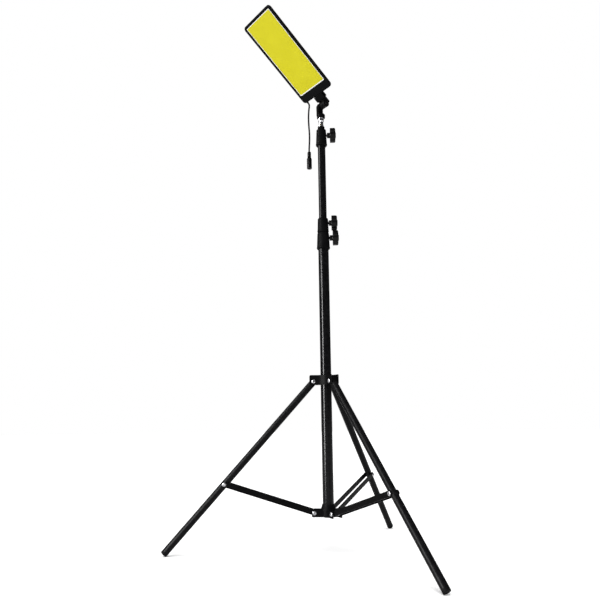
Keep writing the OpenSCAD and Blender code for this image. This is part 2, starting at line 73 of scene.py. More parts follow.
make_camera()

# ---------------------------------------------------------------- sizes, as in the CAD

# Outer radii of the column's four tubes, and their wall.
O1, O2, O3, O4, WALL = 12.5, 11.0, 9.5, 8.0, 1.1

# The tripod. The feet stand on the floor, which sets the height of the crown's pivots, and the length of
# the stays sets the height of the hub's.
LEG_R, LEG_LEN, LEG_ANGLE, LEG_TURN = 8.0, 501.0, 41.94, 2.65
LEG_PIVOT_R, STAY_AT, STAY_LEN, HUB_PIN_R = 28.9, 303.6, 210.0, 31.3
STAY_W, STAY_T = 11.6, 1.8
FOOT_FLAT_R, FOOT_EDGE_R = 7.0, 1.0
FOOT_LIFT = FOOT_FLAT_R * sin(radians(LEG_ANGLE)) + FOOT_EDGE_R - FOOT_EDGE_R * cos(radians(LEG_ANGLE))
LEG_PIVOT_Z = LEG_LEN * cos(radians(LEG_ANGLE)) + FOOT_LIFT
PIN_X = LEG_PIVOT_R + STAY_AT * sin(radians(LEG_ANGLE))
PIN_Z = LEG_PIVOT_Z - STAY_AT * cos(radians(LEG_ANGLE))
RISE = sqrt(STAY_LEN ** 2 - (PIN_X - HUB_PIN_R) ** 2)
STAY_ANGLE = degrees(atan2(RISE, PIN_X - HUB_PIN_R))
HUB_PIN_Z = PIN_Z - RISE
LEG_AZ = (180 + LEG_TURN, 300 + LEG_TURN, 60 + LEG_TURN)
CROWN_LO, CROWN_HI = LEG_PIVOT_Z - 7.4, LEG_PIVOT_Z + 14.7
HUB_LO, HUB_HI = 80.3, 95.9
EAR_IN, EAR_OUT = 8.4, 10.2
BAR_IN, BAR_OUT = 8.45, 10.25
HUB_EAR_IN, HUB_EAR_OUT = 10.6, 12.4
LOCK_AZ = 120 + LEG_TURN
LOCK_Z = (CROWN_LO + CROWN_HI) / 2 + 0.2

# A collar sits on the tube of radius r_outer and clamps the tube of radius r_inner that slides in it.
# boss is how far the face round the stud is from the column's axis. The back of the knob's rim is 6 mm
# beyond knob_start, and the knob's neck begins neck before knob_start.
Collar = namedtuple("Collar", "z height r_top r_foot r_outer r_inner knob_z boss knob_start neck")
COLLARS = (
    Collar(696.4, 41.6, 14.2, 16.1, O1, O2, 725.2, 15.0, 17.1, 1.4),
    Collar(738.3, 37.0, 12.6, 14.1, O2, O3, 763.2, 13.4, 14.8, 0.5),
    Collar(966.5, 44.8, 12.1, 14.2, O3, O4, 995.5, 12.6, 15.7, 1.4),
)
KNOB_R = 18.5
SCALLOP_AT, SCALLOP_R = KNOB_R + 3.4, 5.6
CAP_Z = 1011.6
SPIGOT_Z = 1018.8
SWIVEL_Z = 1043.2

# The head as it stands in the photo: TURN about the column, then TILT about the hinge.
TURN, TILT = -50.7, 53.35
HINGE_Y, HINGE_Z = 7.0, 1082.2
HEAD_Z0, HEAD_Z1, HEAD_HW = 26.6, 264.1, 55.0
RIM_Y, RIM_T = 8.3, 6.0
LED_HW, LED_Z0, LED_Z1 = 48.5, 48.4, 257.6
GLAND_X = -45.0
CASE_SCREWS = [(x, z) for x in (-39.6, 39.6) for z in (HEAD_Z0 + 54, HEAD_Z0 + 141, HEAD_Z1 - 13)]
CORD_D = 4.2
CORD_ROUTE = (
    (-32.8, 31.3, 1105.6), (-31.6, 32.2, 1104.2), (-30.8, 33, 1102.5), (-30.2, 33.4, 1100.6),
    (-30.05, 33.6, 1098.5), (-30.35, 33.6, 1094), (-31.3, 33.6, 1086), (-32, 33.6, 1076),
    (-32.4, 33.6, 1066), (-32.4, 33.6, 1056), (-32.1, 33.6, 1046), (-31.6, 33.6, 1036),
    (-31, 33.6, 1026), (-30.6, 33.6, 1016), (-30.6, 33.6, 1006), (-30.9, 33.6, 996),
    (-31.4, 33.6, 986), (-31.9, 33.6, 977), (-32, 33.6, 968),
)
SOCKET = (-32.0, 33.6, 922.0)


def move(x, y, z):
    return Matrix.Translation((x * MM, y * MM, z * MM))


def turn(angle, axis):
    return Matrix.Rotation(radians(angle), 4, axis)


HERE = Matrix.Identity(4)
AT_SWIVEL = turn(TURN, "Z")
AT_HEAD = AT_SWIVEL @ move(0, HINGE_Y, HINGE_Z) @ turn(TILT, "X")


def at_leg(i):
    return turn(LEG_AZ[i], "Z") @ move(LEG_PIVOT_R, 0, LEG_PIVOT_Z) @ turn(-LEG_ANGLE, "Y")


def at_stay(i):
    return turn(LEG_AZ[i], "Z") @ move(HUB_PIN_R, 0, HUB_PIN_Z) @ turn(-STAY_ANGLE, "Y")


# ---------------------------------------------------------------- materials


class Graph:
    """A short way to add nodes to one material."""

    def __init__(self, name):
        self.mat = bpy.data.materials.new(name)
        self.mat.use_nodes = True
        self.nodes = self.mat.node_tree.nodes
        self.shader = self.nodes["Principled BSDF"]
        self.where = self.add("ShaderNodeTexCoord").outputs["Object"]

    def along_part(self):
        """Coordinates in the part's own frame, for a grain that follows a leg or tube."""
        self.where = self.add("ShaderNodeAttribute", attribute_name="local").outputs["Vector"]

    def add(self, kind, links=(), **values):
        node = self.nodes.new(kind)
        for key, value in values.items():
            if key in node.inputs:
                node.inputs[key].default_value = value
            elif key.replace("_", " ") in node.inputs:
                node.inputs[key.replace("_", " ")].default_value = value
            else:
                setattr(node, key, value)
        for source, socket in links:
            self.mat.node_tree.links.new(source, node.inputs[socket])
        return node

    def link(self, source, socket):
        self.mat.node_tree.links.new(source, self.shader.inputs[socket])

    def noise(self, scale, stretch=(1, 1, 1), detail=3.0, rough=0.55):
        place = self.add("ShaderNodeMapping", [(self.where, "Vector")], Scale=stretch)
        return self.add("ShaderNodeTexNoise", [(place.outputs[0], "Vector")],
                        Scale=scale, Detail=detail, Roughness=rough).outputs["Fac"]

    def span(self, source, a, b, low, high):
        return self.add("ShaderNodeMapRange", [(source, "Value")],
                        From_Min=a, From_Max=b, To_Min=low, To_Max=high).outputs["Result"]

    def blend(self, fac, first, second):
        node = self.add("ShaderNodeMix", data_type="RGBA")
        for socket, value in ((node.inputs[6], first), (node.inputs[7], second)):
            if hasattr(value, "node"):
                self.mat.node_tree.links.new(value, socket)
            else:
                socket.default_value = (*value, 1)
        self.mat.node_tree.links.new(fac, node.inputs[0])
        return node.outputs[2]

    def bump(self, source, depth, after=None):
        node = self.add("ShaderNodeBump", [(source, "Height")], Strength=1.0, Distance=depth)
        if after is not None:
            self.mat.node_tree.links.new(after, node.inputs["Normal"])
        return node.outputs["Normal"]

    def edges(self, low, high):
        point = self.add("ShaderNodeNewGeometry").outputs["Pointiness"]
        return self.span(point, low, high, 0.0, 1.0)

    def fixed(self, **values):
        for key, value in values.items():
            self.shader.inputs[key.replace("_", " ")].default_value = value


def finish_of(name, dark, light, rough, grain, depth, *, metal=0.0, stretch=(1, 1, 1), worn=None,
              worn_rough=0.3, broad=14.0, fine=None, specular=0.5):
    """Colour varies between dark and light and roughness between its two values, in clouds of scale broad.
    grain and depth are the scale and the depth of the relief, and fine is a second such pair. worn is the
    colour that edges rub down to."""
    g = Graph(name)
    if stretch[2] < 1:
        g.along_part()
    cloud = g.noise(broad, detail=4.0)
    speck = g.noise(grain, stretch, detail=2.0)
    tone = g.blend(g.span(cloud, 0.3, 0.7, 0.0, 1.0), dark, light)
    shine = g.span(g.noise(broad * 3.1, detail=5.0, rough=0.65), 0.3, 0.72, rough[0], rough[1])
    if worn is not None:
        rubbed = g.add("ShaderNodeMath", [(g.edges(0.53, 0.60), 0),
                       (g.span(g.noise(220.0, detail=4.0), 0.42, 0.62, 0.0, 1.0), 1)], operation="MULTIPLY")
        tone = g.blend(rubbed.outputs[0], tone, worn)
        shine = g.add("ShaderNodeMix", [(rubbed.outputs[0], 0), (shine, 2)], B=worn_rough).outputs[0]
    g.link(tone, "Base Color")
    g.link(shine, "Roughness")
    relief = g.bump(speck, depth)
    if fine:
        relief = g.bump(g.noise(fine[0], detail=1.0), fine[1], after=relief)
    g.link(relief, "Normal")
    g.fixed(Metallic=metal, Specular_IOR_Level=specular)
    return g.mat


# One for each slot of the record. leg_tube and satin_plastic are not slots: they are the looks of some
# pieces whose slots are black_tube and black_plastic.
MATS = {
    "black_tube": finish_of("tube_black", (0.0016, 0.0016, 0.0018), (0.0028, 0.0028, 0.0031), (0.185, 0.2),
                            2600.0, 0.0000002, stretch=(1, 1, 0.03), worn=(0.02, 0.02, 0.022), broad=9.0,
                            specular=0.085),
    "leg_tube": finish_of("tube_black_leg", (0.0016, 0.0016, 0.0018), (0.0028, 0.0028, 0.0031), (0.36, 0.46),
                          2600.0, 0.000002, stretch=(1, 1, 0.03), worn=(0.02, 0.02, 0.022), broad=9.0,
                          fine=(900.0, 0.00001), specular=0.045),
    "black_plastic": finish_of("plastic_black", (0.0018, 0.0018, 0.002), (0.0034, 0.0034, 0.0037),
                               (0.40, 0.56), 2300.0, 0.00009, worn=(0.03, 0.03, 0.032), worn_rough=0.38,
                               fine=(900.0, 0.00003), broad=22.0, specular=0.022),
    "satin_plastic": finish_of("plastic_black_satin", (0.0018, 0.0018, 0.002), (0.0034, 0.0034, 0.0037),
                               (0.20, 0.28), 2300.0, 0.00001, worn=(0.03, 0.03, 0.032), worn_rough=0.2,
                               broad=22.0, specular=0.09),
    "black_paint": finish_of("paint_black", (0.0013, 0.0013, 0.0015), (0.0024, 0.0024, 0.0027), (0.32, 0.46),
                             1500.0, 0.00005, worn=(0.04, 0.04, 0.04), worn_rough=0.35,
                             fine=(480.0, 0.00003), broad=30.0, specular=0.028),
    "zinc": finish_of("zinc_plate", (0.24, 0.24, 0.25), (0.34, 0.34, 0.35), (0.38, 0.5), 1800.0, 0.00002,
                      metal=1.0, worn=(0.55, 0.55, 0.56), worn_rough=0.2, broad=120.0),
    "chrome": finish_of("chrome", (0.50, 0.50, 0.52), (0.58, 0.58, 0.60), (0.07, 0.16), 3000.0, 0.000006,
                        metal=1.0, stretch=(1, 1, 20), broad=60.0),
    "nylon": finish_of("nylon", (0.62, 0.61, 0.56), (0.72, 0.71, 0.66), (0.42, 0.55), 1700.0, 0.00003,
                       broad=60.0),
    "black_housing": finish_of("housing_black", (0.0013, 0.0013, 0.0016), (0.0024, 0.0024, 0.0029),
                               (0.36, 0.48), 3400.0, 0.00005, worn=(0.06, 0.06, 0.065), worn_rough=0.3,
                               broad=16.0, specular=0.032),
    "led_white": finish_of("board_white", (0.90, 0.90, 0.88), (0.95, 0.95, 0.93), (0.32, 0.42), 900.0,
                           0.00002, broad=70.0),
    "black_rubber": finish_of("rubber_black", (0.0022, 0.0022, 0.0025), (0.0042, 0.0042, 0.0046),
                              (0.58, 0.74), 1900.0, 0.00008, fine=(700.0, 0.00003), broad=45.0,
                              specular=0.05),
}


def phosphor():
    """Silicone over a phosphor layer: an even yellow, faintly clouded, with a soft orange-peel skin."""
    g = Graph("phosphor_yellow")
    cloud = g.span(g.noise(26.0, detail=4.0), 0.32, 0.68, 0.0, 1.0)
    tone = g.blend(cloud, (0.53, 0.485, 0.0055), (0.56, 0.515, 0.009))
    speck = g.span(g.noise(2400.0, detail=1.0), 0.60, 0.80, 0.0, 0.35)
    tone = g.blend(speck, tone, (0.49, 0.445, 0.0055))
    g.link(tone, "Base Color")
    g.link(g.span(g.noise(60.0), 0.3, 0.7, 0.42, 0.55), "Roughness")
    skin = g.bump(g.noise(520.0, detail=2.0), 0.00006)
    g.link(g.bump(g.noise(2600.0, detail=1.0), 0.00003, after=skin), "Normal")
    g.fixed(Specular_IOR_Level=0.1)
    return g.mat


MATS["led_yellow"] = phosphor()

# ---------------------------------------------------------------- outlines


def soften(points, closed=True, step=15.0):
    """Corners given as (x, y, radius) become arcs, with a point about every step degrees."""
    out = []
    last = len(points) - 1
    for k, point in enumerate(points):
        here = Vector(point[:2])
        radius = point[2] if len(point) > 2 else 0
        if radius <= 0 or (not closed and k in (0, last)):
            out.append(tuple(here))
            continue
        a = Vector(points[k - 1][:2]) - here
        b = Vector(points[(k + 1) % len(points)][:2]) - here
        half = a.angle(b) / 2
        sweep = pi - 2 * half
        cut = min(radius / tan(half), a.length * 0.49, b.length * 0.49)
        a.normalize()
        b.normalize()
        r = cut * tan(half)
        centre = here + (a + b).normalized() * (r / sin(half))
        start = here + a * cut - centre
        side = 1 if start.x * (here + b * cut - centre).y - start.y * (here + b * cut - centre).x > 0 else -1
        count = max(2, ceil(degrees(sweep) / step))
        for j in range(count + 1):
            t = side * sweep * j / count
            out.append((centre.x + start.x * cos(t) - start.y * sin(t),
                        centre.y + start.x * sin(t) + start.y * cos(t)))
    return out


def rrect(x0, x1, y0, y1, r, step=15.0):
    return soften([(x0, y0, r), (x1, y0, r), (x1, y1, r), (x0, y1, r)], step=step)


def circle(r, n):
    return [(r * cos(2 * pi * k / n), r * sin(2 * pi * k / n)) for k in range(n)]


def inset(outline, d):
    """A counter-clockwise outline moved inwards by d."""
    out = []
    n = len(outline)
    for k in range(n):
        p, a, b = (Vector(outline[(k + j) % n]) for j in (0, -1, 1))
        e1, e2 = (p - a).normalized(), (b - p).normalized()
        n1, n2 = Vector((-e1.y, e1.x)), Vector((-e2.y, e2.x))
        out.append(tuple(p + (n1 + n2) * (d / max(0.35, 1 + n1.dot(n2)))))
    return out


# ---------------------------------------------------------------- meshes

# Points nearer than WELD millimetres are joined, and edges past SHARP degrees stay sharp.
WELD, SHARP = 2e-3, 48.0


def add_loft(bm, loops, ring=False, cap0=True, cap1=True):
    """A skin over loops of equal length. It closes on itself as a ring, or is capped at its ends."""
    rows = [[bm.verts.new(p) for p in loop] for loop in loops]
    n = len(rows[0])
    pairs = list(zip(rows, rows[1:]))
    if ring:
        pairs.append((rows[-1], rows[0]))
    for a, b in pairs:
        for k in range(n):
            bm.faces.new((a[k], a[(k + 1) % n], b[(k + 1) % n], b[k]))
    if not ring and cap0:
        bm.faces.new(rows[0][::-1])
    if not ring and cap1:
        bm.faces.new(rows[-1])
    return rows


def spin(bm, profile, n=72, ring=False, place=None):
    """A lathe body about local z. Profile points are (radius, z), and a radius may be a function of the
    angle."""
    loops = []
    for r, z in profile:
        loop = []
        for k in range(n):
            t = 2 * pi * k / n
            rr = r(t) if callable(r) else r
            p = Vector((rr * cos(t), rr * sin(t), z))
            loop.append(place @ p if place is not None else p)
        loops.append(loop)
    first, last = profile[0][0], profile[-1][0]
    add_loft(bm, loops, ring, cap0=callable(first) or first > 0, cap1=callable(last) or last > 0)


def plan_at(outline, y):
    return [(x, y, z) for x, z in outline]


def add_slab(bm, outline, y0, y1, edge):
    """An outline given in (x, z), extruded along y, with rounded edges."""
    levels = [(y0 + edge * (1 - cos(t)), edge * (1 - sin(t))) for t in (0, pi / 6, pi / 3, pi / 2)]
    levels += [(y0 + y1 - y, d) for y, d in reversed(levels)]
    add_loft(bm, [plan_at(inset(outline, d), y) for y, d in levels])


def piece(name, bm, body, slot, nodes=(), place=HERE, look=None):
    """Turns a mesh in millimetres into an object in metres, at place, that rides on body and stands for
    nodes. Its material is the slot's, or the one that look names."""
    bmesh.ops.remove_doubles(bm, verts=bm.verts, dist=WELD)
    bmesh.ops.dissolve_degenerate(bm, edges=bm.edges, dist=1e-5)
    bmesh.ops.recalc_face_normals(bm, faces=bm.faces)
    bm.transform(Matrix.Scale(MM, 4))
    local = bm.verts.layers.float_vector.new("local")
    for v in bm.verts:
        v[local] = v.co
    bm.transform(place)
    for f in bm.faces:
        f.smooth = len(f.verts) <= 4
    for e in bm.edges:
        e.smooth = len(e.link_faces) == 2 and e.calc_face_angle(0) < radians(SHARP)
    mesh = bpy.data.meshes.new(name)
    bm.to_mesh(mesh)
    bm.free()
    mesh.materials.append(MATS[look or slot])
    obj = bpy.data.objects.new(name, mesh)
    bpy.context.collection.objects.link(obj)
    even = obj.modifiers.new("even_normals", "WEIGHTED_NORMAL")
    even.keep_sharp = True
    even.weight = 70
    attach(obj, body)
    if nodes:
        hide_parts(*nodes)
    return obj


# ---------------------------------------------------------------- hanging lead, first


def make_cord():
    data = bpy.data.curves.new("dc_lead", "CURVE")
    data.dimensions = "3D"
    data.bevel_depth = CORD_D / 2 * MM
    data.bevel_resolution = 5
    data.resolution_u = 8
    data.use_fill_caps = True
    line = data.splines.new("BEZIER")
    line.bezier_points.add(len(CORD_ROUTE) - 1)
    for point, at in zip(line.bezier_points, CORD_ROUTE):
        point.co = [c * MM for c in at]
        point.handle_left_type = point.handle_right_type = "AUTO"
    data.materials.append(MATS["black_rubber"])
    obj = bpy.data.objects.new("dc_lead", data)
    bpy.context.collection.objects.link(obj)
    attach(obj, "head")
    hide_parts("dc_cord")
    return obj


def make_socket():
    """In-line DC socket: a ribbed relief, a fluted grip and a faced mouth with its centre contact."""
    bm = bmesh.new()
    ribs = []
    for k in range(4):
        z = 42.4 - k * 3.1
        ribs += [(4.62, z + 1.0), (4.62, z - 0.9), (4.15, z - 1.15), (4.15, z - 1.85)]

    def grip(r, depth):
        return lambda t: r - depth * max(0.0, cos(18 * t)) ** 0.5

    body = [(0, 45.95), (2.7, 45.95), (3.7, 45.7), (4.3, 44.9), (4.55, 44.0)] + ribs
    body += [(4.5, 30.8), (4.5, 29.8), (4.9, 29.0), (5.7, 28.2), (6.2, 27.2), (6.35, 26.2),
             (6.35, 24.6), (grip(6.35, 0.3), 24.2), (grip(6.35, 0.3), 9.6), (6.35, 9.2), (6.35, 7.4),
             (6.05, 7.1), (6.05, 6.5), (6.35, 6.2), (6.35, 0.7), (6.15, 0.2), (5.7, 0), (3.1, 0),
             (2.85, 0.15), (2.75, 0.5), (2.75, 9.6), (0, 9.6)]
    spin(bm, body, n=144)
    socket = piece("dc_socket_body", bm, "head", "black_plastic", ("dc_socket",), move(*SOCKET),
                   "satin_plastic")
    bm = bmesh.new()
    spin(bm, [(0, 9.7), (1.05, 9.7), (1.05, 3.8), (0.85, 3.3), (0.5, 3.05), (0, 3.0)], n=32)
    pin = piece("dc_socket_contact", bm, "head", "zinc", (), move(*SOCKET))
    bm = bmesh.new()
    spin(bm, [(2.74, 4.2), (2.6, 4.0), (2.45, 4.2), (2.45, 9.5), (2.74, 9.5)], n=48, ring=True)
    liner = piece("dc_socket_sleeve", bm, "head", "zinc", (), move(*SOCKET))
    return socket, pin, liner


def make_gland():
    bm = bmesh.new()
    spin(bm, [(0, 8), (2.15, 8), (2.15, 0), (2.9, 0), (2.9, -0.5), (2.6, -0.7), (2.6, -1.1), (2.8, -1.3),
              (2.75, -1.7), (2.5, -1.9), (2.5, -2.2), (2.45, -2.45), (2.2, -2.5), (0, -2.5)], n=48)
    piece("lead_grommet", bm, "head", "black_rubber", ("cord_gland",),
          AT_HEAD @ move(GLAND_X, RIM_Y + RIM_T / 2, HEAD_Z0))


lead = make_cord()
socket_parts = make_socket()
make_gland()

# ---------------------------------------------------------------- screws


def cross_recess(size, arm):
    """The outline of a Phillips recess as a radius over the angle."""

    def radius(t):
        c, s = abs(cos(t)), abs(sin(t))
        big, small = max(c, s), min(c, s)
        reach = size / big
        if small / big * size > arm:
            reach = arm / small
        return reach

    return radius


def add_screw(bm, place, shank_r, shank_len, head_r, head_h):
    """A domed head with a cross recess, its seat at local z 0 and its shank below."""
    dome = [(head_r * cos(t), head_h * (0.42 + 0.58 * sin(t))) for t in (0.0, 0.35, 0.7, 1.0)]
    wide = cross_recess(head_r * 0.52, head_r * 0.16)
    low = cross_recess(head_r * 0.36, head_r * 0.1)
    profile = [(0, -shank_len), (shank_r, -shank_len), (shank_r, 0), (head_r - 0.15, 0), (head_r, 0.15)]
    profile += dome
    profile += [(head_r * 0.54, head_h), (wide, head_h * 0.98), (low, head_h * 0.35), (0, head_h * 0.3)]
    spin(bm, profile, 48, place=place)


def along(direction, at):
    """A rotation that takes local z to direction, then a move to a point in millimetres."""
    z = Vector(direction).normalized()
    x = z.orthogonal().normalized()
    m = Matrix((x, z.cross(x), z)).transposed().to_4x4()
    m.translation = at
    return m


# ---------------------------------------------------------------- column tubes


def make_tube(name, node, r, z0, z1, body):
    bm = bmesh.new()
    ri = r - WALL
    spin(bm, [(r - 0.22, z0), (r - 0.06, z0 + 0.06), (r, z0 + 0.22), (r, z1 - 0.22), (r - 0.06, z1 - 0.06),
              (r - 0.22, z1), (ri + 0.2, z1), (ri, z1 - 0.2), (ri, z0 + 0.2), (ri + 0.2, z0)], 96, ring=True)
    piece(name, bm, body, "black_tube", (node,))


make_tube("column_base", "base_tube", O1, 81.0, 718.2, "base")
make_tube("column_second", "tube_2", O2, 101.0, 756.2, "riser_2")
make_tube("column_third", "tube_3", O3, 316.0, 988.5, "riser_3")
make_tube("column_fourth", "tube_4", O4, 340.0, 1015.6, "riser_4")


def make_base_plug():
    bm = bmesh.new()
    spin(bm, [(0, 79.2), (6.0, 79.2), (6.6, 78.8), (10.6, 78.6), (11.5, 78.75), (11.9, 79.3), (11.9, 80.9),
              (11.3, 80.99), (11.3, 92.6), (10.6, 93.0), (0, 93.0)], n=72)
    piece("base_end_plug", bm, "base", "black_plastic", ("base_plug",))


make_base_plug()

# ---------------------------------------------------------------- crown and hub


def fork_outline(x_end, ear_in, ear_out, x_slot, x_web, web_r):
    """The plan of a three-way fork: for each leg two cheeks with an open slot between them."""
    corners = []
    for az in LEG_AZ:
        c, s = cos(radians(az)), sin(radians(az))
        for x, y, r in ((x_web, -ear_out, web_r), (x_end, -ear_out, 0.6), (x_end, -ear_in, 0.5),
                        (x_slot, -ear_in, 1.6), (x_slot, ear_in, 1.6), (x_end, ear_in, 0.5),
                        (x_end, ear_out, 0.6), (x_web, ear_out, web_r)):
            corners.append((x * c - y * s, x * s + y * c, r))
    return soften(corners, step=12.0)


def add_fork(bm, z0, z1, bore_r, x_end, ear_in, ear_out, x_slot, x_web, web_r, corner, edge):
    """The fork between z0 and z1. corner rounds the ends of the cheeks, and edge rounds all the edges."""
    cuts = sorted({0.0, edge * 0.13, edge * 0.5, edge, corner * 0.45, corner * 0.75, corner})
    zs = [z0 + c for c in cuts] + [z1 - c for c in reversed(cuts)]
    loops = []
    for z in zs:
        depth = min(z - z0, z1 - z)
        back = corner - sqrt(max(0.0, corner ** 2 - (corner - min(depth, corner)) ** 2))
        pull = edge - sqrt(max(0.0, edge ** 2 - (edge - min(depth, edge)) ** 2))
        plan = inset(fork_outline(x_end - back, ear_in, ear_out, x_slot, x_web, web_r), pull)
        loops.append([(x, y, z) for x, y in plan])
    outer = add_loft(bm, loops, cap0=False, cap1=False)
    lip = 0.5
    bore = [(bore_r + lip, z0), (bore_r, z0 + lip), (bore_r, z1 - lip), (bore_r + lip, z1)]
    inner = add_loft(bm, [[(x, y, z) for x, y in circle(r, 72)] for r, z in bore], cap0=False, cap1=False)
    for rows in ((outer[0], inner[0]), (outer[-1], inner[-1])):
        rim = []
        for row in rows:
            rim += [bm.edges.get((row[k], row[(k + 1) % len(row)])) for k in range(len(row))]
        bmesh.ops.triangle_fill(bm, edges=rim, use_beauty=True)


def add_pin_screws(bm, i, r, out, z):
    """The two screw heads on the cheeks' faces at the pivot of leg or stay i, at radius r and height z."""
    az = turn(LEG_AZ[i], "Z").to_3x3()
    for s in (-1, 1):
        at = az @ Vector((r, s * out, 0)) + Vector((0, 0, z))
        add_screw(bm, along(az @ Vector((0, s, 0)), at), 2.4, out if s > 0 else 1.0, 4.5, 2.3)


def make_crown():
    bm = bmesh.new()
    add_fork(bm, CROWN_LO, CROWN_HI, 14.5, 38.4, EAR_IN, EAR_OUT, 19.0, 14.5, 18.0, 2.4, 0.45)
    boss = turn(LOCK_AZ, "Z")
    boss.translation = (0, 0, LOCK_Z)
    boss = boss @ turn(90, "Y")
    spin(bm, [(5.5, 15.2), (5.5, 19.6), (5.3, 20.1), (4.9, 20.4), (2.9, 20.4), (2.6, 20.1), (2.6, 15.2)], 48,
         ring=True, place=boss)
    piece("crown_body", bm, "crown", "black_plastic", ("crown",))
    bm = bmesh.new()
    for i in range(3):
        add_pin_screws(bm, i, LEG_PIVOT_R, EAR_OUT, LEG_PIVOT_Z)
    piece("crown_bolts", bm, "crown", "zinc", ("crown_pins",))


def make_hub():
    bm = bmesh.new()
    add_fork(bm, HUB_LO, HUB_HI, 12.52, 37.2, HUB_EAR_IN, HUB_EAR_OUT, 18.6, 12.0, 10.0, 2.0, 0.45)
    spin(bm, [(12.52, 95.0), (16.6, 95.0), (16.6, 97.0), (16.35, 98.2), (15.4, 100.6), (14.5, 103.2),
              (13.85, 105.6), (13.6, 106.6), (13.3, 107.1), (12.7, 107.1), (12.52, 106.9)], 96, ring=True)
    piece("hub_body", bm, "base", "black_plastic", ("hub",))
    bm = bmesh.new()
    for i in range(3):
        add_pin_screws(bm, i, HUB_PIN_R, HUB_EAR_OUT, HUB_PIN_Z)
        az = turn(LEG_AZ[i], "Z").to_3x3()
        middle = along(az @ Vector((0, 1, 0)), az @ Vector((HUB_PIN_R, 0, 0)) + Vector((0, 0, HUB_PIN_Z)))
        spin(bm, [(2.41, -8.3), (3.6, -8.3), (3.8, -8.1), (3.8, 8.1), (3.6, 8.3), (2.41, 8.3)], 40,
             ring=True, place=middle)
    piece("hub_bolts", bm, "base", "zinc", ("hub_pins",))


make_crown()
make_hub()


def make_lock():
    place = turn(LOCK_AZ, "Z") @ move(0, 0, LOCK_Z) @ turn(90, "Y")

    def flutes(r, depth):
        return lambda t: r - depth * max(0.0, cos(12 * t)) ** 1.5

    bm = bmesh.new()
    spin(bm, [(2.55, 21.0), (5.5, 21.0), (5.9, 21.3), (6.0, 21.7), (6.0, 24.4), (6.4, 24.9), (8.3, 25.0),
              (flutes(9.0, 0.6), 25.3), (flutes(9.4, 0.75), 25.9), (flutes(9.4, 0.75), 31.6),
              (flutes(9.0, 0.65), 32.4), (8.2, 32.85), (6.6, 33.0), (6.2, 32.7), (3.0, 32.7), (0, 32.7)],
         144)
    piece("crown_lock_knob", bm, "crown_lock", "black_plastic", ("lock_knob",), place)
    bm = bmesh.new()
    threads = [(2.5 if k % 2 else 2.25, 13.2 + 0.35 * k) for k in range(45)]
    spin(bm, [(0, 12.86), (1.9, 12.86)] + threads + [(0, 28.9)], 32)
    piece("crown_lock_screw", bm, "crown_lock", "zinc", ("lock_screw",), place)


make_lock()

# ---------------------------------------------------------------- legs and stays


def make_leg(i):
    body = f"leg_{i + 1}"
    place = at_leg(i)
    bm = bmesh.new()
    r, ri = LEG_R, LEG_R - WALL
    z0, z1 = -LEG_LEN + 6, -10.0
    spin(bm, [(r - 0.3, z0), (r - 0.08, z0 + 0.08), (r, z0 + 0.3), (r, z1 - 0.3), (r - 0.08, z1 - 0.08),
              (r - 0.3, z1), (ri, z1), (ri, z0)], 72, ring=True)
    piece(f"leg_{i + 1}_pipe", bm, body, "black_tube", (f"leg_{i + 1}_tube",), place, "leg_tube")

    # the eye: round where it meets the pipe, flat-sided between the cheeks, and domed at its end
    bm = bmesh.new()
    loops = []
    for z in (-9.98, -9.5, -7.0, -4.0, -1.5, 0.0, 1.5, 3.0, 4.4, 5.6, 6.6, 7.3, 7.7, 7.95):
        across = sqrt(LEG_R ** 2 - max(0.0, z) ** 2)
        square = min(1.0, max(0.0, (z + 7.5) / 6.0))
        corner = min(LEG_R - 4.2 * square, across * 0.98)
        plan = rrect(-across, across, -7.99, 7.99, corner, step=11.0)
        if z <= -9.9:
            plan = inset(plan, 0.3)
        loops.append([(x, y, z) for x, y in plan])
    add_loft(bm, loops)
    spin(bm, [(0, -26), (6.4, -26), (6.8, -25.4), (6.8, -9.9), (0, -9.9)], 48)
    piece(f"leg_{i + 1}_end_fitting", bm, body, "black_plastic", (f"leg_{i + 1}_eye",), place)

    bm = bmesh.new()
    z = -LEG_LEN
    spin(bm, [(0, z + 0.5), (3.4, z + 0.5), (3.7, z + 0.4), (4.0, z), (6.9, z), (7.3, z + 0.08),
              (7.75, z + 0.35), (7.95, z + 0.75), (8.0, z + 1.2), (8.0, z + 2.2), (7.75, z + 2.35),
              (7.75, z + 2.75), (8.0, z + 2.9), (8.0, z + 3.7), (7.75, z + 3.85), (7.75, z + 4.25),
              (8.0, z + 4.4), (8.0, z + 5.4), (7.8, z + 5.8), (7.4, z + 5.95), (6.85, z + 5.95),
              (6.85, z + 20.6), (6.3, z + 21), (0, z + 21)], 72)
    piece(f"leg_{i + 1}_rubber_foot", bm, body, "black_rubber", (f"leg_{i + 1}_foot",), place)


def make_stay(i):
    body = f"stay_{i + 1}"
    place = at_stay(i)
    bm = bmesh.new()
    h = STAY_W / 2
    outline = soften([(-h, -h, h - 0.02), (STAY_LEN + h, -h, h - 0.02), (STAY_LEN + h, h, h - 0.02),
                      (-h, h, h - 0.02)], step=9.0)
    for s in (-1, 1):
        lo, hi = (BAR_IN, BAR_OUT) if s > 0 else (-BAR_OUT, -BAR_IN)
        add_slab(bm, outline, lo, hi, 0.35)
    piece(f"stay_{i + 1}_flat_bars", bm, body, "black_paint", (f"stay_{i + 1}_bars",), place)
    bm = bmesh.new()
    for s in (-1, 1):
        add_screw(bm, along((0, s, 0), (STAY_LEN, s * BAR_OUT, 0)), 2.4, STAY_T, 4.5, 2.3)
    piece(f"stay_{i + 1}_rivets", bm, body, "zinc", (f"stay_{i + 1}_screws",), place)


for leg in range(3):
    make_leg(leg)
    make_stay(leg)

# ---------------------------------------------------------------- clamp collars and knobs


